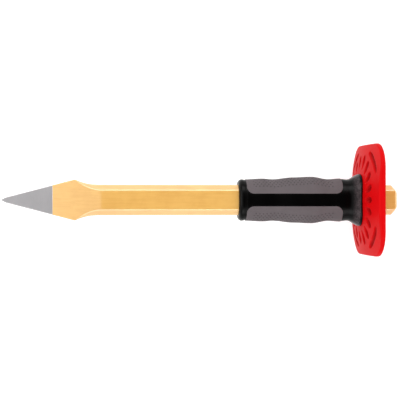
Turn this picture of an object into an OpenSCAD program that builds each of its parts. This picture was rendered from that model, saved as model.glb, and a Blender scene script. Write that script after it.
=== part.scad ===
// Cold chisel with a push-on hand-guard grip.
// One forged bar runs right through a moulded sleeve. Two soft pads are moulded into the sleeve's
// narrow sides, and a dished guard plate is snapped on behind its flange.
// X runs along the bar towards the striking head, Y across its wide faces, Z up through its thickness.
// The origin is the middle of the striking face.

/* [Bar] */
// Overall length, from the point to the striking face
bar_length = 300; // [270:1:360]
// Width of the flat-octagon bar
bar_width = 23; // [19:0.1:28]
// Thickness of the flat-octagon bar
bar_thickness = 13; // [10.5:0.1:16]
// Leg of the long bevels on the bar's four edges
edge_bevel = 3.9; // [2:0.1:4.5]
// Radius of the crowned striking face
crown_radius = 29; // [24:1:60]
// Diameter of the flat land in the middle of the striking face
land_diameter = 6; // [3:0.5:9]
// Radius at which the turned chamfer of the head meets the striking face
head_radius = 7.8; // [6:0.1:9]

/* [Blade] */
// Length of the forged taper, from the point to the full bar section
taper_length = 73.3; // [62:0.1:88]
// Distance from the point to the widest place
spread_distance = 53.8; // [44:0.1:60]
// Width at the widest place
spread_width = 30.6; // [28.5:0.1:36]
// Length of the steeper nose at the point
nose_length = 3; // [1.5:0.1:5]
// Width of the blade where the nose starts
nose_width = 3.9; // [2:0.1:6]
// Thickness of the blade where the nose starts
nose_thickness = 1.7; // [1.2:0.1:3]
// Width of the blunt point
point_width = 0.8; // [0.5:0.1:1.8]
// Thickness of the blunt point
point_thickness = 0.6; // [0.4:0.1:1]
// Small flat that breaks the blade's long edges
edge_break = 0.3; // [0.1:0.05:0.5]

/* [Grip] */
// Length of bar that stands out behind the flange's lip
head_stickout = 29; // [22:0.1:40]
// Length of the grip, from its front collar to the flange's lip
grip_length = 94.7; // [84:0.1:112]
// Length of the rounded collar at the front of the grip
collar_length = 5.6; // [4:0.1:8]
// Length of the smooth neck and the flare behind the pads
neck_length = 15.3; // [13:0.1:19]
// Wall over the bar's narrow sides, at the collar
side_wall = 3.9; // [3.4:0.1:5]
// Wall over the bar's wide faces, at the collar
face_wall = 4.4; // [3.6:0.1:6]
// Rise of the palm swell above the collar's wall
swell_rise = 2.1; // [1:0.1:3]
// Rise of the flange above the collar's wall, across the bar's width
flange_rise = 4.8; // [3:0.1:7]
// Rise of the flange above the collar's wall, through the bar's thickness
flange_rise_face = 3.2; // [2:0.1:6]
// Clearance all round the bar in the sleeve
bar_clearance = 0.05; // [0.02:0.01:0.1]

/* [Pads] */
// Width of the black strip between the pads, on each wide face
strip_width = 9.4; // [6:0.1:13]
// Thickness of the pads
pad_thickness = 1.9; // [1.4:0.1:2.4]
// How far the pads stand proud of the sleeve
pad_proud = 0.2; // [0.1:0.05:0.4]
// Corner radius of the pads beside the strip
pad_corner = 5.5; // [3:0.1:7]
// Gap left round each pad and under it
pad_gap = 0.03; // [0.01:0.01:0.1]

/* [Guard] */
// Width of the guard plate across the bar's width
guard_width = 85; // [71:0.5:104]
// Width of the guard plate through the bar's thickness
guard_depth = 82; // [68:0.5:104]
// Corner radius of the guard plate
guard_corner = 19; // [16:0.5:24]
// Slope of the dished front face, in degrees
dish_angle = 10.8; // [6:0.1:13]
// Thickness of the dished web
web_thickness = 3.4; // [2.6:0.1:4.5]
// Depth of the rim behind the front face, at the flats
rim_depth = 4.8; // [4:0.1:7]
// Width of the full-depth rim
rim_width = 5; // [3:0.1:8]
// Number of radial grooves round the flange
groove_count = 18; // [12:2:24]
// Width of all the grooves
groove_width = 3; // [1.5:0.1:3.6]
// Length of the radial grooves
groove_length = 8.5; // [6:0.1:11]
// Depth of all the grooves
groove_depth = 1.4; // [0.5:0.1:2]
// Distance from the flange's lip to the radial grooves
groove_offset = 3.4; // [3:0.1:6]
// Length of the four straight grooves across the corners
corner_groove_length = 20; // [12:0.5:24]
// Direction of the corner grooves from the bar's axis, in degrees away from +Y or -Y
corner_groove_angle = 41; // [36:1:54]
// Distance of the corner grooves from the bar's axis, as a share of the guard plate's width
corner_groove_reach = 0.46; // [0.42:0.01:0.5]
// Clearance between the guard plate and the sleeve's spigot and flange
guard_clearance = 0.15; // [0.1:0.05:0.3]
// Rise of the snap bead behind the guard plate
bead_rise = 0.8; // [0.4:0.1:1.2]
// Length of the snap bead along the bar
bead_length = 2; // [1.2:0.1:3]

/* [Hidden] */
$fn = 64;

steel_gold = [0.90, 0.69, 0.36];
moulded_black = [0.05, 0.05, 0.05];
soft_grey = [0.46, 0.43, 0.45];
guard_red = [0.88, 0.03, 0.05];

point_x = -bar_length;
taper_end_x = point_x + taper_length;
// Steps along the concave run from the widest place to the full bar
spread_steps = 8;

lip_x = -head_stickout;
collar_x = lip_x - grip_length;
pad_start_x = collar_x + collar_length;
pad_end_x = lip_x - neck_length;
pad_length = pad_end_x - pad_start_x;
neck_end_x = pad_end_x + neck_length / 3;
grip_width = bar_width / 2 + side_wall;
grip_depth = bar_thickness / 2 + face_wall;
lip_width = grip_width + flange_rise;
lip_depth = grip_depth + flange_rise_face;
// Roundness of the grip's section: 2 is an ellipse, higher is squarer
squareness = 2.6;
section_points = 28;
steps_per_wave = 3;
flare_steps = 6;
flare_sweep = 165;

dish_slope = tan(dish_angle);
// Where the dish's cone comes to its point, so that it meets the lip across the bar's width
cone_tip_x = lip_x + guard_clearance - lip_width * dish_slope;
rim_back_x = cone_tip_x + guard_width / 2 * dish_slope + rim_depth;
spigot_wall = 3.4;
spigot_width = bar_width / 2 + spigot_wall;
spigot_depth = bar_thickness / 2 + spigot_wall;
hub_wall = 3;
hub_back_x = cone_tip_x + spigot_width * dish_slope + web_thickness + 1;
spigot_end_x = hub_back_x + guard_clearance + bead_length;
// Height of the cone that shapes the dish: it passes the plate's corners at every dish angle
cone_height = 16;
// Height of the groove cutters in front of the dish
groove_cutter = 10;
// Longer than any piece that it cuts
far = 200;

// Turns a flat shape in the X-Y plane of its own into one that faces along the bar
module along_bar(start_x, length) {
    translate([start_x, 0, 0])
        rotate([90, 0, 90])
            linear_extrude(length) children();
}

// Outline of a flat octagon: four points round one narrow side, then the same four turned half a turn
function octagon(half_w, half_t, bevel_w, bevel_t) = [
    for (side = [1, -1]) each [
        [side * half_w, -side * (half_t - bevel_t)],
        [side * half_w, side * (half_t - bevel_t)],
        [side * (half_w - bevel_w), side * half_t],
        [-side * (half_w - bevel_w), side * half_t]
    ]
];

function bar_section(clearance) = octagon(
    bar_width / 2 + clearance,
    bar_thickness / 2 + clearance,
    edge_bevel + clearance * (2 - sqrt(2)),
    edge_bevel + clearance * (2 - sqrt(2))
);

// Thickness of the blade at a distance from the point
function blade_thickness(s) = s <= nose_length
    ? point_thickness + (nose_thickness - point_thickness) * s / nose_length
    : nose_thickness + (bar_thickness - nose_thickness) * (s - nose_length) / (taper_length - nose_length);

// How far along the run from the widest place to the full bar, from 0 to 1
function spread_run(s) = max(0, (s - spread_distance) / (taper_length - spread_distance));

function blade_width(s) = s <= nose_length
    ? point_width + (nose_width - point_width) * s / nose_length
    : s <= spread_distance
        ? nose_width + (spread_width - nose_width) * (s - nose_length) / (spread_distance - nose_length)
        : bar_width + (spread_width - bar_width) * pow(1 - spread_run(s), 2);

// The wide face narrows in a straight line while the outline curves, so the bevel opens between them
function blade_bevel(s) = max(
    min(edge_break, blade_thickness(s) / 4),
    blade_width(s) / 2 - spread_width / 2 + (spread_width / 2 - bar_width / 2 + edge_bevel) * spread_run(s)
);

blade_stations = [
    0,
    nose_length,
    for (i = [0 : spread_steps]) spread_distance + (taper_length - spread_distance) * i / spread_steps
];

function blade_ring(s) = [
    for (p = octagon(blade_width(s) / 2, blade_thickness(s) / 2, blade_bevel(s), blade_bevel(s)))
        [point_x + s, p[0], p[1]]
];

// A closed solid through a list of rings that all have the same number of points
module loft(rings) {
    sides = len(rings[0]);
    last = len(rings) - 1;
    polyhedron(
        points = [for (ring = rings) each ring],
        faces = [
            [for (k = [0 : sides - 1]) k],
            for (r = [0 : last - 1], k = [0 : sides - 1]) each [
                [r * sides + k, (r + 1) * sides + k, r * sides + (k + 1) % sides],
                [r * sides + (k + 1) % sides, (r + 1) * sides + k, (r + 1) * sides + (k + 1) % sides]
            ],
            [for (k = [sides - 1 : -1 : 0]) last * sides + k]
        ]
    );
}

// Room inside which the head is turned: a shallow crown with a small land, and a conical chamfer
module head_envelope(depth) {
    land_drop = crown_radius - sqrt(pow(crown_radius, 2) - pow(land_diameter / 2, 2));
    edge_drop = crown_radius - sqrt(pow(crown_radius, 2) - pow(head_radius, 2)) - land_drop;
    rotate([0, 90, 0])
        rotate_extrude()
            intersection() {
                translate([0, land_drop - crown_radius]) circle(crown_radius);
                polygon([
                    [0, -depth],
                    [head_radius + depth - edge_drop, -depth],
                    [head_radius - edge_drop, 0],
                    [0, 0]
                ]);
            }
}

module chisel_bar() {
    head_block = crown_radius / 2;
    color(steel_gold) {
        loft([for (s = blade_stations) blade_ring(s)]);
        along_bar(taper_end_x, -taper_end_x - head_block) polygon(bar_section(0));
        intersection() {
            along_bar(-head_block, head_block + 1) polygon(bar_section(0));
            head_envelope(head_block);
        }
    }
}

// The grip's waves: [share of the pads' length, share of the palm swell], read from front to back
waves = [[0, 0], [0.18, 0.28], [0.28, 0.04], [0.51, 0.76], [0.69, 1], [0.87, 0.12], [1, 0.4]];

function ease(t) = (1 - cos(180 * t)) / 2;
function flare(t) = (1 - cos(flare_sweep * t)) / (1 - cos(flare_sweep));

// Stations along the grip: [x, half width, half depth]
collar_stations = [
    for (a = [0 : 30 : 90]) [
        collar_x + collar_length / 3 * (1 - cos(a)),
        grip_width - collar_length / 5 * (1 - sin(a)),
        grip_depth - collar_length / 5 * (1 - sin(a))
    ]
];
wave_stations = [
    for (i = [0 : len(waves) - 2], k = [0 : steps_per_wave - 1])
        let (
            t = k / steps_per_wave,
            share = waves[i][0] + (waves[i + 1][0] - waves[i][0]) * t,
            rise = waves[i][1] + (waves[i + 1][1] - waves[i][1]) * ease(t)
        )
        [pad_start_x + pad_length * share, grip_width + swell_rise * rise, grip_depth + swell_rise * rise / 2]
];
neck_rise = swell_rise * waves[len(waves) - 1][1];
flare_stations = [
    [pad_end_x, grip_width + neck_rise, grip_depth + neck_rise / 2],
    for (i = [0 : flare_steps])
        let (t = i / flare_steps)
        [
            neck_end_x + (lip_x - neck_end_x) * t,
            grip_width + neck_rise / 2 + (flange_rise - neck_rise / 2) * flare(t),
            grip_depth + neck_rise / 4 + (flange_rise_face - neck_rise / 4) * flare(t)
        ],
    [lip_x + 2 * guard_clearance, lip_width, lip_depth]
];
grip_stations = concat(collar_stations, wave_stations, flare_stations);
// The stations that shape the pads and their pockets stop in the neck, clear of the flare
pad_stations = [for (st = grip_stations) if (st[0] < pad_end_x + neck_length / 2) st];

function superellipse(half_w, half_d) = [
    for (k = [0 : section_points - 1])
        let (a = 360 * (k + 0.5) / section_points, c = cos(a), s = sin(a))
        [
            half_w * sign(c) * pow(abs(c), 2 / squareness),
            half_d * sign(s) * pow(abs(s), 2 / squareness)
        ]
];

// The grip's outside, grown by an offset
module grip_form(stations, grow) {
    loft([
        for (st = stations) [
            for (p = superellipse(st[1] + grow, st[2] + grow)) [st[0], p[0], p[1]]
        ]
    ]);
}

// Outline of a pad seen through the wide faces: side is 1 or -1, grown by an offset
module pad_outline(side, grow) {
    inner_y = strip_width / 2;
    offset(delta = grow)
        hull() {
            for (x = [pad_start_x + pad_corner, pad_end_x - pad_corner])
                translate([x, side * (inner_y + pad_corner)]) circle(pad_corner, $fn = 32);
            translate([pad_start_x, side > 0 ? grip_width : -2 * grip_width]) square([pad_length, grip_width]);
        }
}

module pad_block(side, grow) {
    translate([0, 0, -far / 2]) linear_extrude(far) pad_outline(side, grow);
}

// A slot-shaped section: two round ends joined by a block
module stadium(half_w, half_d) {
    for (side = [1, -1])
        translate([side * (half_w - half_d), 0]) circle(half_d);
    square([2 * (half_w - half_d), 2 * half_d], center = true);
}

// Everything behind the guard's conical front face, moved back along the bar by an offset
module behind_cone(offset_x) {
    translate([cone_tip_x + offset_x, 0, 0])
        rotate([0, 90, 0]) cylinder(h = cone_height, r1 = 0, r2 = cone_height / dish_slope);
}

module grip_sleeve() {
    color(moulded_black)
        difference() {
            union() {
                difference() {
                    grip_form(grip_stations, 0);
                    behind_cone(-guard_clearance);
                    difference() {
                        for (side = [1, -1]) pad_block(side, 0);
                        grip_form(pad_stations, -pad_thickness + pad_proud);
                    }
                }
                along_bar(lip_x - neck_length / 2, spigot_end_x - lip_x + neck_length / 2)
                    stadium(spigot_width, spigot_depth);
                along_bar(spigot_end_x - bead_length, bead_length)
                    stadium(spigot_width + bead_rise, spigot_depth + bead_rise);
            }
            along_bar(collar_x - 1, grip_length + far / 2) polygon(bar_section(bar_clearance));
        }
}

// A soft pad fills its pocket and wraps the narrow side of the grip: side is 1 for left, -1 for right
module grip_pad(side) {
    color(soft_grey)
        intersection() {
            difference() {
                grip_form(pad_stations, pad_proud);
                grip_form(pad_stations, pad_gap - pad_thickness + pad_proud);
            }
            pad_block(side, -pad_gap);
        }
}

module left_grip_pad() {
    grip_pad(1);
}

module right_grip_pad() {
    grip_pad(-1);
}

// A square with round corners, built from blocks and cylinders so that its corners are true arcs
module rounded_plate(width, depth, corner) {
    for (y = [1, -1], z = [1, -1])
        translate([y * (width / 2 - corner), z * (depth / 2 - corner)]) circle(corner);
    square([width, depth - 2 * corner], center = true);
    square([width - 2 * corner, depth], center = true);
}

// A round-ended groove in the cone's face, at a direction from +Y and a distance from the bar's axis.
// It points away from the bar, or across that direction when it is turned by 90 degrees.
module cone_groove(angle, radius, length, width, turned) {
    rotate([angle, 0, 0])
        translate([cone_tip_x + radius * dish_slope, radius, 0])
            rotate([0, 0, -dish_angle])
                translate([-groove_cutter, 0, 0])
                    rotate([90, 0, 90])
                        linear_extrude(groove_cutter + groove_depth)
                            rotate(turned) {
                                for (end = [1, -1])
                                    translate([end * (length - width) / 2, 0]) circle(width / 2);
                                square([length - width, width], center = true);
                            }
}

// Distance from the bar's axis to the ring of grooves, which follows the flange's oval
function groove_radius(angle) = groove_offset + groove_length / 2
    + 1 / sqrt(pow(cos(angle) / lip_width, 2) + pow(sin(angle) / lip_depth, 2));

module hand_guard() {
    corner_angle = corner_groove_angle;
    corner_radius = corner_groove_reach * guard_width;
    color(guard_red)
        difference() {
            union() {
                difference() {
                    intersection() {
                        along_bar(cone_tip_x, rim_back_x - cone_tip_x)
                            rounded_plate(guard_width, guard_depth, guard_corner);
                        behind_cone(0);
                    }
                    intersection() {
                        along_bar(cone_tip_x, rim_back_x - cone_tip_x + 1)
                            rounded_plate(
                                guard_width - 2 * rim_width,
                                guard_depth - 2 * rim_width,
                                guard_corner - rim_width
                            );
                        behind_cone(web_thickness);
                    }
                }
                intersection() {
                    along_bar(cone_tip_x, hub_back_x - cone_tip_x)
                        stadium(spigot_width + hub_wall, spigot_depth + hub_wall);
                    behind_cone(0);
                }
            }
            along_bar(cone_tip_x - 1, rim_back_x - cone_tip_x + 2)
                stadium(spigot_width + guard_clearance, spigot_depth + guard_clearance);
            for (k = [0 : groove_count - 1])
                let (angle = 360 * (k + 0.5) / groove_count)
                cone_groove(angle, groove_radius(angle), groove_length, groove_width, 0);
            for (angle = [corner_angle, 180 - corner_angle, 180 + corner_angle, 360 - corner_angle])
                cone_groove(angle, corner_radius, corner_groove_length, groove_width, 90);
        }
}

chisel_bar();
grip_sleeve();
left_grip_pad();
right_grip_pad();
hand_guard();
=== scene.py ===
# %% [markdown]
# # A cold chisel with a hand-guard grip
#
# This lesson dresses a packed engineering model of a cold chisel. The engineering model holds the sizes
# and the motion, and this script makes what the eye sees: a lacquered forging, a moulded black sleeve,
# two soft grey pads and a red guard plate. The frame is loaded first, because the places of the pieces
# come from it.

# %% Load the frame
import math

import bmesh
import bpy
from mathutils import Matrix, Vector


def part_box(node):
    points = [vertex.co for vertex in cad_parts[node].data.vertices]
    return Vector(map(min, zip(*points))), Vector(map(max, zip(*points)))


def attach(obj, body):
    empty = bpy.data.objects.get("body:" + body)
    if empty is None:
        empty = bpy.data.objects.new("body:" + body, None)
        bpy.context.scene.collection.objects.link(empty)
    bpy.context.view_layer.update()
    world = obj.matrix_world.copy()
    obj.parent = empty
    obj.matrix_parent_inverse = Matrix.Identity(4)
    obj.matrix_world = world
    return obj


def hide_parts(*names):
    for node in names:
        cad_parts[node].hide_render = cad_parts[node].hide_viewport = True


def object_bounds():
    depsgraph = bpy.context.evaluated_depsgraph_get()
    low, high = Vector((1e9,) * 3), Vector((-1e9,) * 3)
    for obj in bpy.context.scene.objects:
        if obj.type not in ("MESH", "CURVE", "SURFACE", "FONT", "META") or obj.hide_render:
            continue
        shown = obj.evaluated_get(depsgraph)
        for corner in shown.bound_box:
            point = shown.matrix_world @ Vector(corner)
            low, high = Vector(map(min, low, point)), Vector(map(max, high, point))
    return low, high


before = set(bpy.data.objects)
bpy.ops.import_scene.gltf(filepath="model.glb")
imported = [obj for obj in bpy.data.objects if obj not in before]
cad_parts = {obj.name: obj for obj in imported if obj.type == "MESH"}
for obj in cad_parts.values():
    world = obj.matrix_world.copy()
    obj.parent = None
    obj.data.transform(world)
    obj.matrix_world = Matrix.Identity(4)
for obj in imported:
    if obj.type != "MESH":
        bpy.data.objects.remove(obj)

cad_low, cad_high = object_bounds()
MM = 0.001

# %% [markdown]
# ## Places that come from the frame
#
# A chisel is laid out along one axis, so nearly every place is a distance along X. The boxes of the
# engineering nodes give them: where the point is, where the grip starts and ends, where the pads lie and
# how wide the guard is. Only the flange's lip is inside a box, so its distance from the striking face is
# given. All are kept in millimetres, because a toolmaker thinks in millimetres.

# %% Read the places
def box_mm(node):
    """Lowest and highest corner of an engineering node, in millimetres."""
    low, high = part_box(node)
    return low / MM, high / MM


bar_low, bar_high = box_mm("chisel_bar")
sleeve_low, sleeve_high = box_mm("grip_sleeve")
pad_low, pad_high = box_mm("left_grip_pad")
_, guard_high = box_mm("hand_guard")
FLANGE_TO_FACE = 29.0

POINT_X = bar_low.x
FACE_X = bar_high.x
BAR_HALF_T = bar_high.z
COLLAR_X = sleeve_low.x
SPIGOT_END_X = sleeve_high.x
PAD_START_X, PAD_END_X = pad_low.x, pad_high.x
GUARD_HALF_W, GUARD_HALF_D = guard_high.y, guard_high.z
RIM_BACK_X = guard_high.x
LIP_X = FACE_X - FLANGE_TO_FACE
print("point", round(POINT_X, 1), "collar", round(COLLAR_X, 1))
print("pads from", round(PAD_START_X, 1), "to", round(PAD_END_X, 1))

# %% [markdown]
# ## Small tools for making meshes
#
# All pieces but the pads are lofts: lists of rings with the same number of points, joined ring to ring.
# Writing the rings by formula keeps full control over where an edge is crisp and where it is round, which
# a stack of modifiers would blur. Corners are rounded with a short curve that uses the corner itself as
# its handle.

# %% Mesh helpers
CORNER_STEPS = 4
EDGE_SHARE = 0.45
SUPPORT_GAP = 0.35


def turn_outwards(mesh):
    """Reverses the faces of a closed mesh whose volume comes out negative."""
    shell = bmesh.new()
    shell.from_mesh(mesh)
    volume = shell.calc_volume(signed=True)
    if volume < 0:
        bmesh.ops.reverse_faces(shell, faces=shell.faces)
        shell.to_mesh(mesh)
    open_edges = sum(not edge.is_manifold for edge in shell.edges)
    print(mesh.name, round(abs(volume) * 1e6, 2), "cm3,", open_edges, "open edges")
    shell.free()


def mesh_piece(name, points, faces):
    """A new object at the origin from points in millimetres."""
    mesh = bpy.data.meshes.new(name)
    mesh.from_pydata([Vector(p) * MM for p in points], [], faces)
    mesh.polygons.foreach_set("use_smooth", [True] * len(mesh.polygons))
    turn_outwards(mesh)
    piece = bpy.data.objects.new(name, mesh)
    bpy.context.collection.objects.link(piece)
    return piece


def loft_piece(name, rings, looped=False):
    """A piece of rings joined one to the next, whose ends are either capped or joined to each other."""
    count, sides = len(rings), len(rings[0])
    faces = []
    for r in range(count if looped else count - 1):
        a, b = r * sides, (r + 1) % count * sides
        faces += [(a + k, a + (k + 1) % sides, b + (k + 1) % sides, b + k) for k in range(sides)]
    if not looped:
        faces.append(tuple(range(sides - 1, -1, -1)))
        faces.append(tuple(range((count - 1) * sides, count * sides)))
    return mesh_piece(name, [p for ring in rings for p in ring], faces)


def corner_curve(before, corner, after, reach):
    """Points that round a corner, starting and ending up to `reach` away from it."""
    to_before, to_after = before - corner, after - corner
    start = corner + to_before.normalized() * min(reach, to_before.length * EDGE_SHARE)
    end = corner + to_after.normalized() * min(reach, to_after.length * EDGE_SHARE)
    curve = []
    for i in range(CORNER_STEPS + 1):
        t = i / CORNER_STEPS
        curve.append(start * (1 - t) ** 2 + corner * 2 * t * (1 - t) + end * t ** 2)
    return curve


def step_towards(start, goal, distance):
    """A point `distance` away from start, but never past half of the way to the goal."""
    return start.lerp(goal, min(0.5, distance / max((goal - start).length, 0.001)))


def rounded_outline(corners, reach):
    """A closed outline with round corners, and one extra point beside each curve to keep the flats flat."""
    outline = []
    for i, corner in enumerate(corners):
        before, after = corners[i - 1], corners[(i + 1) % len(corners)]
        curve = corner_curve(before, corner, after, reach)
        first = step_towards(curve[0], (before + corner) / 2, SUPPORT_GAP)
        last = step_towards(curve[-1], (after + corner) / 2, SUPPORT_GAP)
        outline += [first, *curve, last]
    return outline


def steps_between(start, end, count):
    """Even steps from start up to, but not including, end."""
    return [start + (end - start) * i / count for i in range(count)]


def soft_min(a, b, blend):
    """The smaller of two values, with the corner between them rounded over `blend`."""
    h = max(blend - abs(a - b), 0) / blend
    return min(a, b) - h * h * blend / 4


# %% [markdown]
# ## Node trees written as arithmetic
#
# Materials and Geometry Nodes share their maths nodes. A small class wraps a socket and overloads the
# arithmetic signs, so a pattern reads like the formula that it is, and one method makes any other node.

# %% Sockets that take part in arithmetic
class Wire:
    """A node's output that can be added, multiplied and compared like a number."""

    def __init__(self, tree, socket):
        self.tree, self.socket = tree, socket

    def math(self, operation, *others):
        node = add_node(self.tree, "ShaderNodeMath", {"operation": operation})
        for entry, value in zip(node.inputs, (self, *others)):
            connect(self.tree, entry, value)
        return Wire(self.tree, node.outputs[0])

    def __add__(self, other):
        return self.math("ADD", other)

    def __sub__(self, other):
        return self.math("SUBTRACT", other)

    def __mul__(self, other):
        return self.math("MULTIPLY", other)

    def __truediv__(self, other):
        return self.math("DIVIDE", other)

    def __rsub__(self, other):
        return (self * -1.0).math("ADD", other)

    def __rtruediv__(self, other):
        return (self ** -1.0).math("MULTIPLY", other)

    def __abs__(self):
        return self.math("ABSOLUTE")

    def __pow__(self, other):
        return self.math("POWER", other)

    __radd__ = __add__
    __rmul__ = __mul__


def connect(tree, entry, value):
    """Links a wire or a socket to an input, or sets the input's own value."""
    if isinstance(value, Wire):
        value = value.socket
    if isinstance(value, bpy.types.NodeSocket):
        tree.links.new(value, entry)
    else:
        entry.default_value = value


def add_node(tree, kind, settings=None, **inputs):
    """Any node: its settings first, then its sockets by name, with _ for a space."""
    node = tree.nodes.new(kind)
    for key, value in (settings or {}).items():
        setattr(node, key, value)
    for key, value in inputs.items():
        connect(tree, node.inputs[key.replace("_", " ")], value)
    return node


def smooth_mask(wire, start, end):
    """0 below start, 1 above end, with an eased run between them."""
    settings = {"interpolation_type": "SMOOTHSTEP"}
    node = add_node(wire.tree, "ShaderNodeMapRange", settings, Value=wire, From_Min=start, From_Max=end)
    return Wire(wire.tree, node.outputs[0])


# %% [markdown]
# Where a detail repeats, a Geometry Nodes tree makes it. Every tree starts with named sizes on its
# modifier, and ends with instances made real and a material set. Its result is then kept as a plain mesh,
# so the finished piece carries no modifier.

# %% Recipes for repeated detail
class Recipe:
    """A Geometry Nodes tree under construction."""

    def __init__(self, name, size_names):
        self.tree = bpy.data.node_groups.new(name, "GeometryNodeTree")
        sides = self.tree.interface
        sides.new_socket("Geometry", in_out="INPUT", socket_type="NodeSocketGeometry")
        for size_name in size_names:
            sides.new_socket(size_name, in_out="INPUT", socket_type="NodeSocketFloat")
        sides.new_socket("Geometry", in_out="OUTPUT", socket_type="NodeSocketGeometry")
        self.entry = add_node(self.tree, "NodeGroupInput")

    def size(self, name):
            return Wire(self.tree, self.entry.outputs[name])

    def split(self, vector):
        node = add_node(self.tree, "ShaderNodeSeparateXYZ", Vector=vector)
        return [Wire(self.tree, out) for out in node.outputs]

    def press(self, share, depth, material):
        """Sinks the surface by a share of a depth, stores the share as "pressed", and ends the tree."""
        normal = add_node(self.tree, "GeometryNodeInputNormal").outputs["Normal"]
        offset = add_node(
            self.tree, "ShaderNodeVectorMath", {"operation": "SCALE"},
            Vector=normal, Scale=share * depth * -MM,
        )
        stored = add_node(
            self.tree, "GeometryNodeStoreNamedAttribute", {"data_type": "FLOAT", "domain": "POINT"},
            Geometry=self.entry.outputs["Geometry"], Name="pressed", Value=share,
        )
        moved = add_node(
            self.tree, "GeometryNodeSetPosition", Geometry=stored.outputs[0], Offset=offset.outputs[0],
        )
        real = add_node(self.tree, "GeometryNodeRealizeInstances", Geometry=moved.outputs[0])
        dressed = add_node(
            self.tree, "GeometryNodeSetMaterial", Geometry=real.outputs[0], Material=material,
        )
        add_node(self.tree, "NodeGroupOutput", Geometry=dressed.outputs[0])


def follow_recipe(piece, recipe, sizes):
    """Runs a recipe on a piece with the given sizes, and keeps the result as its mesh."""
    modifier = piece.modifiers.new(recipe.tree.name, "NODES")
    modifier.node_group = recipe.tree
    for item in recipe.tree.interface.items_tree:
        if item.name in sizes:
            modifier[item.identifier] = float(sizes[item.name])
    view = bpy.context.evaluated_depsgraph_get()
    mesh = bpy.data.meshes.new_from_object(piece.evaluated_get(view))
    piece.modifiers.remove(modifier)
    plain, piece.data = piece.data, mesh
    bpy.data.meshes.remove(plain)


# %% [markdown]
# ## A start for every finish
#
# Each finish begins with the same three things: a Principled shader, the piece's own Object coordinates
# and a few octaves of noise. Object coordinates are in metres here, so a noise scale of 1000 has features
# about a millimetre across. A value that is the same all over goes straight on the shader's own socket,
# and only colour, gloss and relief vary with the noise.

# %% Material helpers
# A Mix node's number, vector and colour sockets share their names, so these are places in its lists.
MIX_COLOR_ENTRIES = (0, 6, 7)
MIX_COLOR_RESULT = 2


class Finish:
    """A material under construction."""

    def __init__(self, name, **constants):
        self.material = bpy.data.materials.new(name)
        self.material.use_nodes = True
        self.tree = self.material.node_tree
        self.shader = self.tree.nodes["Principled BSDF"]
        self.place = add_node(self.tree, "ShaderNodeTexCoord").outputs["Object"]
        split = add_node(self.tree, "ShaderNodeSeparateXYZ", Vector=self.place)
        self.x = Wire(self.tree, split.outputs["X"])
        self.set(**constants)

    def noise(self, scale, detail, roughness=0.5, stretch=(1.0, 1.0, 1.0)):
        """A noise pattern from 0 to 1, drawn out along an axis whose stretch is below 1."""
        mapping = add_node(self.tree, "ShaderNodeMapping", Vector=self.place, Scale=stretch)
        node = add_node(
            self.tree, "ShaderNodeTexNoise", Vector=mapping.outputs[0],
            Scale=scale, Detail=detail, Roughness=roughness,
        )
        return Wire(self.tree, node.outputs["Fac"])

    def pressed(self):
        """How far a moulded detail is pressed in at this point, from 0 to 1."""
        # The pad and guard finishes use this share to paint shade into their recesses.
        node = add_node(self.tree, "ShaderNodeAttribute", {"attribute_name": "pressed"})
        return Wire(self.tree, node.outputs["Fac"])

    def mix(self, mask, low, high):
        """A colour between two colours."""
        node = add_node(self.tree, "ShaderNodeMix", {"data_type": "RGBA"})
        for entry, value in zip(MIX_COLOR_ENTRIES, (mask, low, high)):
            connect(self.tree, node.inputs[entry], value)
        return node.outputs[MIX_COLOR_RESULT]

    def set(self, **values):
        for key, value in values.items():
            connect(self.tree, self.shader.inputs[key.replace("_", " ")], value)

    def bump(self, height, distance, strength):
        """Relief of a height pattern, with its depth given in metres."""
        node = add_node(self.tree, "ShaderNodeBump", Height=height, Distance=distance, Strength=strength)
        connect(self.tree, self.shader.inputs["Normal"], node.outputs[0])


# %% [markdown]
# ## Finish: gold lacquer over forged steel
#
# The bar is painted, not plated. A thin metallic lacquer follows the forging, so the surface has a faint
# orange peel and a broader waviness from the dies, and the colour drifts a little between thick and thin
# places. A faintly metallic base under a strong clear coat gives the bright bevels and the calm wide faces.

# %% Lacquer
def make_lacquer():
    finish = Finish(
        "gold_lacquer", Specular_IOR_Level=0.4, Coat_Weight=0.85, Coat_Roughness=0.1, Coat_IOR=2.3,
    )
    drift = finish.noise(70, detail=4.0, roughness=0.6)
    drawn = finish.noise(700, detail=3.0, stretch=(0.06, 1.0, 1.0))
    speck = finish.noise(900, detail=2.0)
    thickness = smooth_mask(drift * 0.6 + drawn * 0.4, 0.36, 0.64)
    finish.set(
        Base_Color=finish.mix(thickness, (0.73, 0.395, 0.092, 1), (0.81, 0.46, 0.118, 1)),
        Metallic=0.04 + 0.12 * drift,
        Roughness=0.34 + 0.1 * speck,
    )
    finish.bump(drift * 0.6 + drawn * 0.25 + speck * 0.15, 0.00012, 0.35)
    return finish.material


lacquer = make_lacquer()
print("made", lacquer.name)

# %% [markdown]
# ## Finish: ground steel
#
# After lacquering, the last stretch of the blade is ground bright on a belt. The belt runs across the
# blade and leaves fine, nearly parallel lines, so the noise is squeezed along X and stretched along Y.

# %% Ground steel
def make_ground_steel():
    finish = Finish("ground_steel", Metallic=1.0)
    lines = finish.noise(240, detail=6.0, roughness=0.7, stretch=(14.0, 1.2, 2.0))
    cloud = finish.noise(60, detail=2.0)
    color = finish.mix(lines * 0.6 + cloud * 0.4, (0.33, 0.32, 0.33, 1), (0.56, 0.545, 0.555, 1))
    finish.set(Base_Color=color, Roughness=0.36 + 0.16 * lines)
    finish.bump(lines, 0.00006, 0.5)
    return finish.material


ground_steel = make_ground_steel()
print("made", ground_steel.name)
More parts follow.
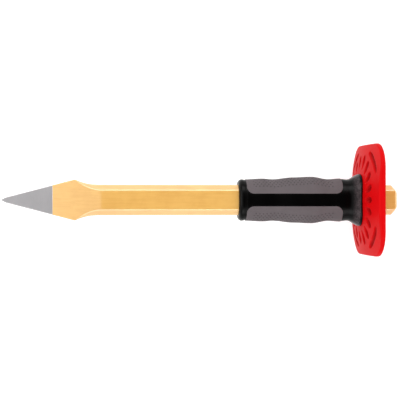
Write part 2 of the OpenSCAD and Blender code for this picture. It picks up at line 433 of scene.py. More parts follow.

# %% [markdown]
# ## Finish: the three mouldings
#
# The sleeve is a hard black plastic from a spark-eroded mould, which leaves a very fine grain. Its flange
# has a lighter, speckled band that ends just before the lip: a painted highlight. The pads are a soft
# compound, greyer and duller, with a coarser grain. The guard is a tough red plastic, smoother than either.
# Pads and guard carry painted shade where a detail is pressed in: their colour darkens with its depth.

# %% Mouldings
def make_black_moulding():
    finish = Finish("black_moulding", Specular_IOR_Level=0.11)
    grain = finish.noise(2600, detail=2.0)
    speck = finish.noise(900, detail=4.0, roughness=0.7)
    # Painted highlight: a lighter, speckled band on the flare, ending just before the lip, stands in for a
    # highlight there.
    near_lip = smooth_mask(finish.x, (LIP_X - 8.5) * MM, (LIP_X - 3.6) * MM)
    past_lip = smooth_mask(finish.x, (LIP_X - 2.5) * MM, (LIP_X - 1.9) * MM)
    painted_lip_highlight = near_lip * (1 - past_lip) * (0.3 + 0.7 * smooth_mask(speck, 0.36, 0.64))
    finish.set(
        Base_Color=finish.mix(painted_lip_highlight, (0.0006, 0.0005, 0.0005, 1), (0.064, 0.050, 0.053, 1)),
        Roughness=0.20 + 0.08 * grain,
    )
    finish.bump(grain, 0.00004, 0.6)
    return finish.material


def make_soft_pad():
    finish = Finish("grey_soft_pad", Specular_IOR_Level=0.3)
    grain = finish.noise(1800, detail=3.0, roughness=0.6)
    drift = finish.noise(110, detail=4.0, roughness=0.6)
    skin = finish.mix(drift * 0.7 + grain * 0.3, (0.079, 0.066, 0.070, 1), (0.124, 0.104, 0.111, 1))
    finish.set(
        # Painted shade: the colour darkens towards a dark grey with the depth of each dimple.
        Base_Color=finish.mix(finish.pressed() * 0.62, skin, (0.03, 0.024, 0.026, 1)),
        Roughness=0.62 + 0.2 * grain,
    )
    finish.bump(grain, 0.00007, 0.7)
    return finish.material


def make_red_moulding():
    finish = Finish("red_moulding", Specular_IOR_Level=0.04)
    grain = finish.noise(1500, detail=2.0)
    drift = finish.noise(60, detail=3.0)
    skin = finish.mix(drift, (0.54, 0.0012, 0.0025, 1), (0.61, 0.0025, 0.004, 1))
    finish.set(
        # Painted shade: the colour darkens towards a deep red with the depth of each groove.
        Base_Color=finish.mix(finish.pressed() * 0.8, skin, (0.17, 0.0003, 0.0005, 1)),
        Roughness=0.40 + 0.12 * grain,
    )
    finish.bump(grain * 0.4 + drift * 0.6, 0.00008, 0.4)
    return finish.material


black_moulding = make_black_moulding()
soft_pad = make_soft_pad()
red_moulding = make_red_moulding()
print("made", black_moulding.name, soft_pad.name, red_moulding.name)

# %% [markdown]
# ## The bar: one forging from point to head
#
# The bar starts as rolled flat-octagon stock. The smith flattens one end to a wedge, and the steel that is
# pushed out sideways makes the blade wider than the bar just behind the taper. So two simple rules give the
# whole blade: its thickness falls in a straight line to the point, and its outline is a straight taper that
# meets a concave run back to the stock. The flat of each wide face narrows in a hollow curve over that run,
# and what is left over is the bevel, which closes to nothing at the widest place.

# %% Blade rules
BAR_HALF_W = 11.5
EDGE_BEVEL = 3.9
OUTLINE_HOLLOW = 2.5
FACE_HOLLOW = 1.9
TAPER_LENGTH = 73.3
SPREAD_DISTANCE = 53.8
SPREAD_HALF_W = bar_high.y
NOSE_LENGTH = 3.0
NOSE_HALF_W = 1.95
NOSE_HALF_T = 0.85
POINT_HALF_W = 0.4
POINT_HALF_T = 0.3
EDGE_BREAK = 0.3
CREASE_BLEND = 0.12
HIP_BLEND = 0.6


def line(value, low, high, at_low, at_high):
    return at_low + (at_high - at_low) * (value - low) / (high - low)


def blade_half_thickness(s):
    """Half thickness at a distance s from the point; the next rules measure s in the same way."""
    if s <= NOSE_LENGTH:
        return line(s, 0, NOSE_LENGTH, POINT_HALF_T, NOSE_HALF_T)
    wedge = line(s, NOSE_LENGTH, TAPER_LENGTH, NOSE_HALF_T, BAR_HALF_T)
    return soft_min(wedge, BAR_HALF_T, CREASE_BLEND)


def run_left(s):
    """Share of the concave run that is still ahead: 1 at the widest place, 0 at the stock."""
    return max(0.0, (TAPER_LENGTH - s) / (TAPER_LENGTH - SPREAD_DISTANCE))


def blade_half_width(s):
    if s <= NOSE_LENGTH:
        return line(s, 0, NOSE_LENGTH, POINT_HALF_W, NOSE_HALF_W)
    taper = line(s, NOSE_LENGTH, SPREAD_DISTANCE, NOSE_HALF_W, SPREAD_HALF_W)
    run = BAR_HALF_W + (SPREAD_HALF_W - BAR_HALF_W) * run_left(s) ** OUTLINE_HOLLOW
    return soft_min(taper, run, HIP_BLEND)


def blade_bevel(s):
    """What the flat of the wide face leaves over."""
    stock_face = BAR_HALF_W - EDGE_BEVEL
    face = stock_face + (SPREAD_HALF_W - stock_face) * min(1.0, run_left(s)) ** FACE_HOLLOW
    smallest = min(EDGE_BREAK, blade_half_thickness(s) / 2)
    return min(EDGE_BEVEL, max(smallest, blade_half_width(s) - face))


print("blade", round(2 * blade_half_width(SPREAD_DISTANCE), 1), "mm at its widest")

# %% [markdown]
# The rings lie closer together where the shape turns: at the nose, the widest place and the crease where
# the wedge meets the stock. The line where the grinding stops is a ring of its own, so that bare steel and
# lacquer meet on a clean edge.

# %% Bar rings
GROUND_LENGTH = 37.4
LACQUER_SKIN = 0.06
EDGE_ROUND = 1.1
HEAD_SIDE_END = 9.0
NEAR_GROUND = 0.25
NEAR_HIP = 5
NEAR_CREASE = 3


def octagon(half_w, half_t, bevel):
    quarter = [(half_w, half_t - bevel), (half_w - bevel, half_t)]
    top = quarter + [(-w, t) for w, t in reversed(quarter)]
    return [Vector((w, t)) for w, t in top] + [Vector((-w, -t)) for w, t in top]


def bar_outline(s):
    bevel = blade_bevel(s)
    skin = LACQUER_SKIN if s < GROUND_LENGTH else 0
    corners = octagon(blade_half_width(s) - skin, blade_half_thickness(s) - skin, bevel)
    return rounded_outline(corners, min(EDGE_ROUND, bevel * 0.8))


def bar_stations():
    """Distances from the point at which the bar gets a ring, up to the head."""
    stations = [0, 0.08, 0.3, 0.8, 1.6, 2.6, 3.0, 3.4]
    stations += steps_between(4.2, GROUND_LENGTH - NEAR_GROUND, 22)
    stations += [GROUND_LENGTH - NEAR_GROUND, GROUND_LENGTH - 0.03, GROUND_LENGTH]
    stations += steps_between(GROUND_LENGTH + NEAR_GROUND, SPREAD_DISTANCE - NEAR_HIP, 8)
    stations += steps_between(SPREAD_DISTANCE - NEAR_HIP, SPREAD_DISTANCE + NEAR_HIP, 20)
    stations += steps_between(SPREAD_DISTANCE + NEAR_HIP, TAPER_LENGTH - NEAR_CREASE, 14)
    stations += steps_between(TAPER_LENGTH - NEAR_CREASE, TAPER_LENGTH + NEAR_CREASE, 24)
    stations += steps_between(TAPER_LENGTH + NEAR_CREASE, FACE_X - POINT_X - HEAD_SIDE_END, 44)
    return stations


bar_rings = [[(POINT_X + s, p.x, p.y) for p in bar_outline(s)] for s in bar_stations()]
print(len(bar_rings), "rings of", len(bar_rings[0]), "points along the bar")

# %% [markdown]
# The head is turned after forging: a 45 degree chamfer takes the corners off, and the striking face is
# crowned a little, so that a hammer meets it in the middle. In the plane of each ring point the head has a
# simple profile: up the side, over the chamfer and across the crown. Rounding that profile point by point
# keeps the ring count the same all round, although the chamfer is much longer on the narrow sides.

# %% Head rings
CROWN_RADIUS = 29.0
HEAD_RADIUS = 7.8
FACE_CHAMFER = 0.8
HEAD_EDGE_ROUND = 0.5
CROWN_STEPS = 9


def crown_x(radius):
    return FACE_X - radius ** 2 / (2 * CROWN_RADIUS)


def head_profile(radius):
    """Places (radius, x) from the bar's side to the middle of the face, in one direction from the axis."""
    turned = min(HEAD_RADIUS, radius - FACE_CHAMFER)
    side = Vector((radius, FACE_X - HEAD_SIDE_END))
    shoulder = Vector((radius, crown_x(turned) - (radius - turned)))
    rim = Vector((turned, crown_x(turned)))
    inner = Vector((turned * 0.8, crown_x(turned * 0.8)))
    profile = [side, side.lerp(shoulder, 0.5), side.lerp(shoulder, 0.85)]
    profile += corner_curve(side, shoulder, rim, HEAD_EDGE_ROUND)
    profile += corner_curve(shoulder, rim, inner, HEAD_EDGE_ROUND)
    for i in range(CROWN_STEPS):
        share = 0.9 * (1 - i / CROWN_STEPS)
        profile.append(Vector((turned * share, crown_x(turned * share))))
    return profile


stock_outline = bar_outline(TAPER_LENGTH + 10)
profiles = [head_profile(p.length) for p in stock_outline]
for places in zip(*profiles):
    ring = []
    for p, place in zip(stock_outline, places):
        scaled = p.normalized() * place.x
        ring.append((place.y, scaled.x, scaled.y))
    bar_rings.append(ring)
print(len(profiles[0]), "rings round the head")

# %% [markdown]
# The rings become one closed mesh. Its faces in front of the grinding line are bare steel, and all the
# others are lacquered.

# %% Make the bar
def make_bar():
    piece = loft_piece("chisel_bar_forging", bar_rings)
    piece.data.materials.append(lacquer)
    piece.data.materials.append(ground_steel)
    ground_x = (POINT_X + GROUND_LENGTH) * MM
    for face in piece.data.polygons:
        if face.center.x < ground_x:
            face.material_index = 1
    return piece


bar = make_bar()
print(bar.name, len(bar.data.polygons), "faces")

# %% [markdown]
# ## The sleeve
#
# The sleeve is a moulded tube that the bar runs through. Its section is between an ellipse and a rectangle,
# a superellipse, and its width and depth rise and fall along the grip: a rounded collar in front, a palm
# swell, a finger valley, a neck, and a flare that carries the guard. Waves with an eased run between a few
# crests and valleys describe it, and the same rule serves the pads, which have to follow it closely.

# %% Grip rules
SIDE_WALL = 3.9
FACE_WALL = 4.4
SWELL_RISE = 2.1
NECK_LENGTH = LIP_X - PAD_END_X
NECK_SHARE = 0.33
FLANGE_RISE = 4.8
FLANGE_RISE_FACE = 3.2
SQUARENESS = 2.6
COLLAR_ROUND = 3.0
COLLAR_BULGE = 0.35
COLLAR_SWEEP = 1.15
GRIP_HALF_W = BAR_HALF_W + SIDE_WALL
GRIP_HALF_D = BAR_HALF_T + FACE_WALL
WAVES = [(0, 0), (0.18, 0.28), (0.28, 0.04), (0.51, 0.76), (0.69, 1), (0.87, 0.12), (1, 0.4)]
FLARE_SWEEP = math.radians(165)


def ease(t):
    """A run from 0 to 1 that starts and ends level."""
    return (1 - math.cos(math.pi * t)) / 2


def wave(x):
    """Share of the palm swell at a place along the pads."""
    share = (x - PAD_START_X) / (PAD_END_X - PAD_START_X)
    for (s0, r0), (s1, r1) in zip(WAVES, WAVES[1:]):
        if share <= s1:
            return r0 + (r1 - r0) * ease(max(0, (share - s0) / (s1 - s0)))
    return WAVES[-1][1]


def flare(t):
    return (1 - math.cos(FLARE_SWEEP * t)) / (1 - math.cos(FLARE_SWEEP))


def grip_half(x):
    """Half width and half depth of the grip's outside at a place along it."""
    rise = SWELL_RISE * wave(x)
    width, depth = GRIP_HALF_W + rise, GRIP_HALF_D + rise / 2
    if x < PAD_START_X:
        along = (x - COLLAR_X) / (PAD_START_X - COLLAR_X)
        bulge = COLLAR_BULGE * math.sin(math.pi * COLLAR_SWEEP * along)
        width, depth = width + bulge, depth + bulge
    neck_x = PAD_END_X + NECK_LENGTH * NECK_SHARE
    if x > PAD_END_X:
        dip = SWELL_RISE * WAVES[-1][1] / 2 * ease(min(1, (x - PAD_END_X) / (neck_x - PAD_END_X)))
        width, depth = width - dip, depth - dip / 2
    if x > neck_x:
        opened = flare((x - neck_x) / (LIP_X - neck_x))
        width += (GRIP_HALF_W + FLANGE_RISE - width) * opened
        depth += (GRIP_HALF_D + FLANGE_RISE_FACE - depth) * opened
    return width, depth


print("grip half sizes at the lip", [round(half, 1) for half in grip_half(LIP_X)])

# %% [markdown]
# The sleeve's inside is the bar's octagon, its spigot is a slot with round ends, and its outside is the
# superellipse. All three can be written as a distance from the axis in a given direction, so one set of
# directions, with the octagon's corners among them, carries every ring from the bore to the outside.

# %% Section rules
BAR_CLEARANCE = 0.05
SPIGOT_WALL = 3.4
DIRECTION_COUNT = 160


def superellipse(angle, half_w, half_d):
    """Distance to the edge of the grip's outside section."""
    c, s = abs(math.cos(angle)) / half_w, abs(math.sin(angle)) / half_d
    return (c ** SQUARENESS + s ** SQUARENESS) ** (-1 / SQUARENESS)


def octagon_reach(angle, grow):
    """Distance to the edge of the bar's section, with every side moved outwards."""
    c, s = abs(math.cos(angle)), abs(math.sin(angle))
    half_w, half_t = BAR_HALF_W + grow, BAR_HALF_T + grow
    diagonal = half_w + half_t - EDGE_BEVEL - grow * (2 - math.sqrt(2))
    return min(half_w / max(c, 1e-9), half_t / max(s, 1e-9), diagonal / (c + s))


def spigot_reach(angle, grow):
    """Distance to the edge of the spigot's section, a slot with round ends, moved outwards."""
    c, s = abs(math.cos(angle)), abs(math.sin(angle))
    half_w, half_d = BAR_HALF_W + SPIGOT_WALL + grow, BAR_HALF_T + SPIGOT_WALL + grow
    middle = half_w - half_d
    if s > 1e-9 and half_d * c / s <= middle:
        return half_d / s
    return middle * c + math.sqrt(max(0, half_d ** 2 - (middle * s) ** 2))


def sleeve_directions():
    corners = octagon(BAR_HALF_W, BAR_HALF_T, EDGE_BEVEL)
    corner_angles = sorted(math.atan2(p.y, p.x) % (2 * math.pi) for p in corners)
    directions = []
    for i, a in enumerate(corner_angles):
        b = corner_angles[(i + 1) % 8] + (2 * math.pi if i == 7 else 0)
        count = max(8, round(DIRECTION_COUNT * (b - a) / (2 * math.pi)))
        directions += steps_between(a, b, count)
    return directions


directions = sleeve_directions()
print(len(directions), "directions round the sleeve")

# %% [markdown]
# Behind the flange the guard seats on a shallow cone. The sleeve's rear face follows that cone with a small
# clearance, then steps down to the spigot, which passes through the guard and ends in a snap bead.

# %% Make the sleeve
DISH_SLOPE = math.tan(math.radians(10.8))
GUARD_CLEARANCE = 0.15
BORE_BREAK = 0.1
SPIGOT_FILLET = 0.3
LIP_HALF_W, LIP_HALF_D = GRIP_HALF_W + FLANGE_RISE, GRIP_HALF_D + FLANGE_RISE_FACE
CONE_TIP_X = LIP_X + GUARD_CLEARANCE - LIP_HALF_W * DISH_SLOPE
LIP_ROUND = 0.5
LIP_START = 0.9
LIP_BLEND = 10.0
SPIGOT_START = 3.2
BORE_CHAMFER = 0.4
STRIP_HALF = 4.7
PAD_CORNER = 5.5
POCKET_DEPTH = 1.0
POCKET_MARGIN = 0.8
COLLAR_STEPS = 12
LIP_STEPS = 5
STRETCH_STEPS = 200
BEAD_PROFILE = (
    # distance from the spigot's end, and rise over the spigot's wall
    (2.1, 0), (2.0, 0.72), (1.6, 0.8), (1.0, 0.8), (0.15, 0.05), (0, -0.3),
)


def ring_at(x_rule, reach_rule):
    """One ring of the sleeve; its x is a number, or a rule that follows the distance from the axis."""
    ring = []
    for a in directions:
        reach = reach_rule(a)
        x = x_rule(reach) if callable(x_rule) else x_rule
        ring.append((x, reach * math.cos(a), reach * math.sin(a)))
    return ring


def pad_inside(from_end, from_side):
    """Distance inside the pad's outline, whose corners are round."""
    if from_end < PAD_CORNER and from_side < PAD_CORNER:
        return PAD_CORNER - math.hypot(PAD_CORNER - from_end, PAD_CORNER - from_side)
    return min(from_end, from_side)


def outside(x, inset=0.0):
    """A rule for the sleeve's outside at x, sunk into a pocket where a pad will cover it."""
    half_w, half_d = grip_half(x)

    def reach_at(a):
        reach = superellipse(a, half_w - inset, half_d - inset)
        from_side = abs(reach * math.cos(a)) - STRIP_HALF
        inside = pad_inside(min(x - PAD_START_X, PAD_END_X - x), from_side)
        covered = ease(min(1, max(0, (inside - POCKET_MARGIN) / POCKET_MARGIN)))
        return reach - POCKET_DEPTH * covered

    return reach_at


def seat_x(reach):
    return CONE_TIP_X - GUARD_CLEARANCE + reach * DISH_SLOPE


def drawn_to_cone(x):
    """A rule for a ring near the lip, whose points move forward where the cone lies further forward."""
    share = ease(min(1, max(0, 1 + (x - LIP_X) / LIP_BLEND)))
    return lambda reach: x - share * (LIP_HALF_W - reach) * DISH_SLOPE


def collar_rings():
    rings = [ring_at(COLLAR_X, lambda a: octagon_reach(a, BAR_CLEARANCE + BORE_BREAK))]
    for i in range(COLLAR_STEPS + 1):
        turn = math.pi / 2 * i / COLLAR_STEPS
        x = COLLAR_X + COLLAR_ROUND * (1 - math.cos(turn))
        rings.append(ring_at(x, outside(x, COLLAR_ROUND * (1 - math.sin(turn)))))
    return rings


def lip_rings():
    """The flange's small round lip, which ends on the rear face."""
    rings = []
    lip_w, lip_d = grip_half(LIP_X - LIP_START)
    for i in range(LIP_STEPS + 1):
        turn = math.pi / 2 * i / LIP_STEPS
        inset = LIP_ROUND * (1 - math.cos(turn))
        back = LIP_ROUND * (1 - math.sin(turn))
        rings.append(ring_at(
            lambda reach: seat_x(reach) - back,
            lambda a: superellipse(a, lip_w - inset, lip_d - inset),
        ))
    return rings


def spigot_rings():
    """The rear face's inner edge, the spigot and its snap bead."""
    rings = [
        ring_at(seat_x, lambda a: spigot_reach(a, SPIGOT_FILLET)),
        ring_at(CONE_TIP_X + SPIGOT_START, lambda a: spigot_reach(a, 0)),
    ]
    for distance, rise in BEAD_PROFILE:
        rings.append(ring_at(SPIGOT_END_X - distance, lambda a: spigot_reach(a, rise)))
    return rings


def bore_rings():
    return [
        ring_at(SPIGOT_END_X, lambda a: octagon_reach(a, BAR_CLEARANCE + BORE_CHAMFER)),
        ring_at(SPIGOT_END_X - BORE_CHAMFER, lambda a: octagon_reach(a, BAR_CLEARANCE)),
        ring_at(COLLAR_X + 2 * BORE_BREAK, lambda a: octagon_reach(a, BAR_CLEARANCE)),
    ]


def make_sleeve():
    stretch = steps_between(COLLAR_X + COLLAR_ROUND + 0.3, LIP_X - LIP_START, STRETCH_STEPS)
    rings = collar_rings()
    rings += [ring_at(drawn_to_cone(x), outside(x)) for x in stretch]
    rings += lip_rings() + spigot_rings() + bore_rings()
    piece = loft_piece("black_grip_sleeve", rings, looped=True)
    piece.data.materials.append(black_moulding)
    return piece


sleeve = make_sleeve()
print(sleeve.name, len(sleeve.data.polygons), "faces")

# %% [markdown]
# ## The pads
#
# A pad wraps one narrow side of the grip from a straight edge on the upper wide face to a straight edge on
# the lower one, with its four corners rounded. It is easiest to draw on the grip's surface laid out flat:
# along the bar one way, and round the section the other way. The distance to the pad's edge in that flat
# layout gives the small round-over that catches the light.

# %% Pad rules
PAD_PROUD = 0.3
PAD_EDGE_ROUND = 0.6
PAD_UNDERSIDE = POCKET_DEPTH - 0.02
EDGE_STEPS = [0, 0.04, 0.1, 0.2, 0.34, 0.5, 0.65, 0.9]
ARC_STEPS = 120
STEPS_ALONG = 290
STEPS_ACROSS = 120


def section_arc(x, side):
    """Points round the narrow side of the grip, edge to edge, and the length up to each of them."""
    half_w, half_d = grip_half(x)
    edge_z = half_d * (1 - (STRIP_HALF / half_w) ** SQUARENESS) ** (1 / SQUARENESS)
    edge_angle = math.atan2(edge_z, STRIP_HALF)
    arc, lengths = [], [0.0]
    for i in range(ARC_STEPS + 1):
        a = edge_angle * (1 - 2 * i / ARC_STEPS)
        reach = superellipse(a, half_w, half_d)
        arc.append(Vector((reach * math.cos(a) * side, reach * math.sin(a))))
        if i:
            lengths.append(lengths[-1] + (arc[-1] - arc[-2]).length)
    return arc, lengths


def arc_point(arc, lengths, length):
    for i in range(len(lengths) - 1):
        if lengths[i + 1] >= length:
            t = (length - lengths[i]) / (lengths[i + 1] - lengths[i])
            return arc[i].lerp(arc[i + 1], t)
    return arc[-1]


def quarter_drop(radius, inside):
    """How far a quarter circle has dropped at a distance inside the edge that it rounds."""
    if inside >= radius:
        return 0.0
    return radius - math.sqrt(max(0, radius ** 2 - (radius - inside) ** 2))


def spread_steps(length, count):
    """Steps across a length that crowd together at both edges."""
    inner = steps_between(EDGE_STEPS[-1], length - EDGE_STEPS[-1], count)
    return EDGE_STEPS[:-1] + inner + [length - e for e in reversed(EDGE_STEPS)]


# %% [markdown]
# A pad is a shell between two grids. The outer one stands a little proud of the sleeve and is rounded over
# at its rim, the inner one lies in the sleeve's pocket, and a narrow band joins their edges.

# %% Pad surfaces
def pad_surface(side, height, rounded):
    """A grid over a pad: places in space, and the same places laid out flat."""
    rows, flat_rows = [], []
    length = PAD_END_X - PAD_START_X
    for step in spread_steps(length, STEPS_ALONG):
        x = PAD_START_X + step
        from_end = min(step, length - step)
        arc, lengths = section_arc(x, side)
        half_w, half_d = grip_half(x)
        inset = quarter_drop(PAD_CORNER, from_end)
        row, flat_row = [], []
        for across_step in spread_steps(lengths[-1] - 2 * inset, STEPS_ACROSS):
            around = inset + across_step
            place = arc_point(arc, lengths, around)
            inside = pad_inside(from_end, min(around, lengths[-1] - around))
            sink = quarter_drop(PAD_EDGE_ROUND, inside) if rounded else 0
            slope = Vector((
                math.copysign(abs(place.x / half_w) ** (SQUARENESS - 1) / half_w, place.x),
                math.copysign(abs(place.y / half_d) ** (SQUARENESS - 1) / half_d, place.y),
            )).normalized()
            lifted = place + slope * (height - sink)
            row.append((x, lifted.x, lifted.y))
            flat_row.append((step, around - lengths[-1] / 2, 1.0))
        rows.append(row)
        flat_rows.append(flat_row)
    return rows, flat_rows


def shell_from_grids(name, outer, inner):
    """A closed shell between two grids of points of the same size."""
    rows, columns = len(outer), len(outer[0])
    points = [p for row in outer for p in row] + [p for row in inner for p in row]
    under = rows * columns
    faces = []
    for r in range(rows - 1):
        for k in range(columns - 1):
            a, b = r * columns + k, (r + 1) * columns + k
            faces.append((a, a + 1, b + 1, b))
            faces.append((under + a, under + b, under + b + 1, under + a + 1))
    edge = [r * columns for r in range(rows)]
    edge += [(rows - 1) * columns + k for k in range(1, columns)]
    edge += [(r + 1) * columns - 1 for r in range(rows - 2, -1, -1)]
    edge += range(columns - 2, 0, -1)
    faces += [(a, b, under + b, under + a) for a, b in zip(edge, edge[1:] + edge[:1])]
    return mesh_piece(name, points, faces)


# %% [markdown]
# The pads have a field of small round dimples that lets sweat and oil out of the way. The dimples sit in
# staggered rows over the part that the palm presses. The flat layout of each point is stored on the mesh,
# so the tree can find the nearest dimple with a remainder, without a list of places.

# %% Dimple recipe
DIMPLES = {
    "Pitch": 2.8, "Row Gap": 1.7, "Radius": 0.66, "Depth": 0.4,
    "Field Start": 4.5, "Field End": 66.0, "Field Half Width": 12.0,
}


def make_dimple_recipe():
    recipe = Recipe("pad_dimples", list(DIMPLES))
    flat = add_node(
        recipe.tree, "GeometryNodeInputNamedAttribute", {"data_type": "FLOAT_VECTOR"}, Name="laid_flat",
    )
    along, around, outer = recipe.split(flat.outputs["Attribute"])
    pitch, gap = recipe.size("Pitch"), recipe.size("Row Gap")
    row = (around / gap).math("ROUND")
    stagger = row.math("MODULO", 2.0) * pitch / 2.0
    column = ((along - stagger) / pitch).math("ROUND")
    centre = column * pitch + stagger
    offset_along, offset_around = along - centre, around - row * gap
    distance = (offset_along * offset_along + offset_around * offset_around) ** 0.5
    hollow = (1 - distance / recipe.size("Radius")).math("MAXIMUM", 0.0)
    hollow = hollow * (2 - hollow)
    in_field = centre.math("GREATER_THAN", recipe.size("Field Start"))
    in_field = in_field * centre.math("LESS_THAN", recipe.size("Field End"))
    in_field = in_field * abs(row * gap).math("LESS_THAN", recipe.size("Field Half Width"))
    recipe.press(hollow * in_field * outer, recipe.size("Depth"), soft_pad)
    return recipe


dimple_recipe = make_dimple_recipe()
print("dimples", round((DIMPLES["Field End"] - DIMPLES["Field Start"]) / DIMPLES["Pitch"]), "to a row")

# %% [markdown]
# The pads differ only in their side, so one function makes both. The outer grid's flat places are stored
# before the recipe runs, and the inner grid gets zeros, which keep dimples off it.

# %% Make the pads
def make_pad(name, side):
    outer, flat = pad_surface(side, PAD_PROUD, True)
    inner, _ = pad_surface(side, -PAD_UNDERSIDE, False)
    piece = shell_from_grids(name, outer, inner)
    layout = [value for row in flat for place in row for value in place]
    layout += [0.0] * len(layout)
    piece.data.attributes.new("laid_flat", "FLOAT_VECTOR", "POINT").data.foreach_set("vector", layout)
    follow_recipe(piece, dimple_recipe, DIMPLES)
    return piece


left_pad = make_pad("left_soft_pad", 1)
right_pad = make_pad("right_soft_pad", -1)
print(left_pad.name, len(left_pad.data.polygons), "faces")

# %% [markdown]
# ## The guard plate
#
# The guard is a rounded square that catches a hammer before the knuckles do. Its front dishes back from
# the flange, which throws a glancing blow outwards. Seen from the bar's axis it is a fan: each direction
# runs from the slot that the spigot fills out to the rounded rim, so the mesh is laid out the same way.

# %% Guard outline
GUARD_CORNER = 19.0
WEB_THICKNESS = 3.4
RIM_WIDTH = 5.0
HUB_WALL = 3.0
RIM_ROUND = 1.3
HUB_RISE = 1.0
DRAFT = 0.6
FAN = 540


def plate_reach(angle, half_w, half_d, corner):
    """Distance to the edge of a rounded square."""
    c, s = abs(math.cos(angle)), abs(math.sin(angle))
    if half_w * s <= (half_d - corner) * c:
        return half_w / c
    if half_d * c <= (half_w - corner) * s:
        return half_d / s
    middle = Vector((half_w - corner, half_d - corner))
    along = middle.x * c + middle.y * s
    return along + math.sqrt(max(0, along ** 2 - middle.length_squared + corner ** 2))


def front_x(reach):
    return CONE_TIP_X + reach * DISH_SLOPE


def guard_profile(angle):
    """Places (x, distance from the axis) round the section in one direction, starting at the hole."""
    hole, hub = spigot_reach(angle, GUARD_CLEARANCE), spigot_reach(angle, HUB_WALL)
    rim = plate_reach(angle, GUARD_HALF_W, GUARD_HALF_D, GUARD_CORNER)
    well = plate_reach(
        angle, GUARD_HALF_W - RIM_WIDTH, GUARD_HALF_D - RIM_WIDTH, GUARD_CORNER - RIM_WIDTH,
    )
    hub_back = front_x(BAR_HALF_W + SPIGOT_WALL) + WEB_THICKNESS + HUB_RISE
    # Each corner has its place, its radius and the number of points on the flat that follows it.
    corners = [
        ((front_x(hole), hole), 0.2, 70),
        ((front_x(rim), rim), RIM_ROUND, 3),
        ((RIM_BACK_X, rim), RIM_ROUND, 3),
        ((RIM_BACK_X, well), 0.5, 3),
        ((front_x(well) + WEB_THICKNESS, well - DRAFT), 0.9, 22),
        ((front_x(hub) + WEB_THICKNESS, hub + 0.4), 0.5, 1),
        ((hub_back, hub), 0.4, 1),
        ((hub_back, hole), 0.2, 1),
    ]
    places = [Vector(place) for place, _, _ in corners]
    curves = [
        corner_curve(places[i - 1], place, places[(i + 1) % len(places)], corners[i][1])
        for i, place in enumerate(places)
    ]
    profile = []
    for i, curve in enumerate(curves):
        ahead = curves[(i + 1) % len(curves)][0]
        fill = corners[i][2]
        profile += curve
        profile += [curve[-1].lerp(ahead, k / (fill + 1)) for k in range(1, fill + 1)]
    return profile


def make_guard_blank():
    fan = [2 * math.pi * k / FAN for k in range(FAN)]
    profiles = [guard_profile(a) for a in fan]
    rings = []
    for places in zip(*profiles):
        rings.append([(p.x, p.y * math.cos(a), p.y * math.sin(a)) for a, p in zip(fan, places)])
    return loft_piece("red_guard_plate", rings, looped=True)


# %% [markdown]
# A ring of short drop-shaped grooves surrounds the flange, and one longer curved groove crosses each
# corner, which stiffens the plate. Both kinds are pressed into the blank by one tree, which works in polar
# measures: the angle picks the nearest groove, and the distance beyond the oval flange says how far along
# it a point lies. A power above 1 on that share moves the drop's wide end outwards, and a power below 1 on
# the depth gives steep walls and a flat floor.

# %% Groove recipe
GROOVES = {
    "Groove Count": 18, "Groove Length": 11.6, "Groove Width": 5.2, "Groove Depth": 2.3,
    "Groove Offset": 2.6, "Lip Half Width": LIP_HALF_W, "Lip Half Depth": LIP_HALF_D,
    "Corner Angle": math.radians(41), "Corner Radius": 39.0, "Corner Length": 25.0, "Corner Width": 4.2,
}
DROP_SKEW = 1.7
WALL_STEEPNESS = 0.6
FRONT_FACING = -0.5


def make_groove_recipe():
    recipe = Recipe("guard_grooves", list(GROOVES))
    place = add_node(recipe.tree, "GeometryNodeInputPosition").outputs[0]
    normal = add_node(recipe.tree, "GeometryNodeInputNormal").outputs["Normal"]
    _, y, z = (axis / MM for axis in recipe.split(place))
    facing = recipe.split(normal)[0]
    front = facing.math("LESS_THAN", FRONT_FACING)
    reach = (y * y + z * z) ** 0.5
    angle = z.math("ARCTAN2", y)

    across = (abs(y / reach) / recipe.size("Lip Half Width")) ** SQUARENESS
    down = (abs(z / reach) / recipe.size("Lip Half Depth")) ** SQUARENESS
    lip = (across + down) ** (-1 / SQUARENESS)
    sector = 2 * math.pi / recipe.size("Groove Count")
    aside = (angle.math("FLOORED_MODULO", sector) - sector / 2.0) * reach
    share = (reach - lip - recipe.size("Groove Offset")) / recipe.size("Groove Length")
    skewed = share.math("MAXIMUM", 0.0) ** DROP_SKEW
    sides = 2 * aside / recipe.size("Groove Width")
    radial = (4 * skewed * (1 - skewed) - sides * sides).math("MAXIMUM", 0.0)

    quarter = abs(z).math("ARCTAN2", abs(y))
    along = 2 * (quarter - recipe.size("Corner Angle")) * reach / recipe.size("Corner Length")
    beside = 2 * (reach - recipe.size("Corner Radius")) / recipe.size("Corner Width")
    corner = (1 - along ** 2 * along ** 2 - beside * beside).math("MAXIMUM", 0.0)

    sunk = (radial ** WALL_STEEPNESS + corner ** WALL_STEEPNESS) * front
    recipe.press(sunk, recipe.size("Groove Depth"), red_moulding)
    return recipe


guard = make_guard_blank()
follow_recipe(guard, make_groove_recipe(), GROOVES)
print(guard.name, len(guard.data.polygons), "faces")

# %% [markdown]
# ## Floor, light and camera
#
# The floor is a plain pale sheet under the guard, with a glow of its own, as a lit table has. Round it
# stands a white light tent with a dark opening overhead, so the wide faces keep their colour. Soft lights
# on both sides and at both ends give the long bevels and the dished guard their broad highlights.

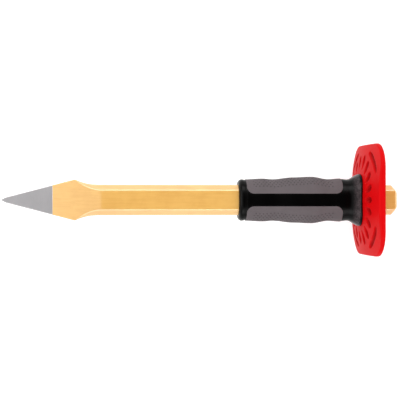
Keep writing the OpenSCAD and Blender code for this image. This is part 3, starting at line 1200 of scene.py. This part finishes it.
# %% Stage
FLOOR_GAP = 0.0002
FLOOR_GLOW = 0.72
TENT_LIGHT = 0.86
OPENING_TILT = math.radians(17)
OPENING_EDGE = math.cos(math.radians(28))
OPENING_CORE = math.cos(math.radians(14))
middle = (cad_low + cad_high) / 2
SOFT_LIGHTS = (
    # name, place, size and power
    ("left_softbox", (middle.x, 0.9, 0.16), (1.5, 0.22), 0.9),
    ("right_softbox", (middle.x, -0.9, 0.16), (1.5, 0.22), 0.7),
    ("left_strip", (middle.x, 0.6, 0.75), (1.2, 0.4), 4.3),
    ("right_strip", (middle.x, -0.6, 0.75), (1.2, 0.4), 3.6),
    ("point_softbox", (middle.x - 1.1, 0.1, 0.5), (0.6, 0.25), 1.9),
    ("head_softbox", (middle.x + 1.1, 0.1, 0.5), (0.5, 0.5), 2.0),
)


def make_floor():
    size = 6.0
    z = cad_low.z - FLOOR_GAP
    mesh = bpy.data.meshes.new("floor")
    corners = [(-size, -size, z), (size, -size, z), (size, size, z), (-size, size, z)]
    mesh.from_pydata(corners, [], [(0, 1, 2, 3)])
    floor = bpy.data.objects.new("floor", mesh)
    bpy.context.collection.objects.link(floor)
    finish = Finish(
        "pale_floor", Base_Color=(0.5, 0.5, 0.5, 1), Roughness=0.9, Specular_IOR_Level=0.1,
        Emission_Color=(1, 1, 1, 1), Emission_Strength=FLOOR_GLOW,
    )
    mesh.materials.append(finish.material)


def add_area(name, place, size, power):
    light = bpy.data.lights.new(name, "AREA")
    light.shape = "RECTANGLE"
    light.size, light.size_y = size
    light.energy = power
    lamp = bpy.data.objects.new(name, light)
    lamp.location = place
    lamp.rotation_euler = (middle - lamp.location).to_track_quat("-Z", "Y").to_euler()
    bpy.context.collection.objects.link(lamp)


def make_studio():
    world = bpy.data.worlds.new("light_tent")
    bpy.context.scene.world = world
    world.use_nodes = True
    tree = world.node_tree
    place = add_node(tree, "ShaderNodeTexCoord").outputs["Generated"]
    split = add_node(tree, "ShaderNodeSeparateXYZ", Vector=place)
    towards_head, _, up = (Wire(tree, out) for out in split.outputs)
    towards_opening = towards_head * math.sin(OPENING_TILT) + up * math.cos(OPENING_TILT)
    opening = smooth_mask(towards_opening, OPENING_EDGE, OPENING_CORE)
    tent = tree.nodes["Background"]
    tent.inputs["Color"].default_value = (1, 1, 1, 1)
    connect(tree, tent.inputs["Strength"], TENT_LIGHT * (1 - opening))


make_floor()
for soft_light in SOFT_LIGHTS:
    add_area(*soft_light)
make_studio()
bpy.context.scene.view_settings.view_transform = "Standard"
print("floor at", round(cad_low.z / MM, 2), "mm, with", len(SOFT_LIGHTS), "soft lights")

# %% [markdown]
# The camera stands high over the blade and looks down on a wide face, so that the dished front of the
# guard shows beyond the grip.

# %% Camera
CAMERA_HEIGHT = 0.836
CAMERA_BEHIND_POINT = 0.0473
AIM_X = -0.1496
SENSOR_WIDTH = 36
FOCAL_LENGTH = 100.4
FRAME_SHIFT = -0.009


def make_camera():
    data = bpy.data.cameras.new("camera")
    camera = bpy.data.objects.new("camera", data)
    bpy.context.collection.objects.link(camera)
    camera.location = (POINT_X * MM + CAMERA_BEHIND_POINT, 0, CAMERA_HEIGHT)
    camera.rotation_euler = (0, -math.atan2(AIM_X - camera.location.x, CAMERA_HEIGHT), 0)
    data.sensor_width = SENSOR_WIDTH
    data.lens = FOCAL_LENGTH
    data.shift_x = FRAME_SHIFT
    data.clip_start, data.clip_end = 0.01, 20
    bpy.context.scene.camera = camera
    return camera


camera = make_camera()
print("camera lens", round(camera.data.lens, 1), "mm")

# %% [markdown]
# ## Riding on the frame
#
# Each piece rides on a body of the frame and stands for its engineering node, which is hidden.

# %% Ride and replace
for piece, body, node, slot in (
    (bar, "bar", "chisel_bar", "lacquered_steel"),
    (sleeve, "grip", "grip_sleeve", "black_moulding"),
    (left_pad, "grip", "left_grip_pad", "grey_soft_pad"),
    (right_pad, "grip", "right_grip_pad", "grey_soft_pad"),
    (guard, "grip", "hand_guard", "red_moulding"),
):
    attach(piece, body)
    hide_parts(node)
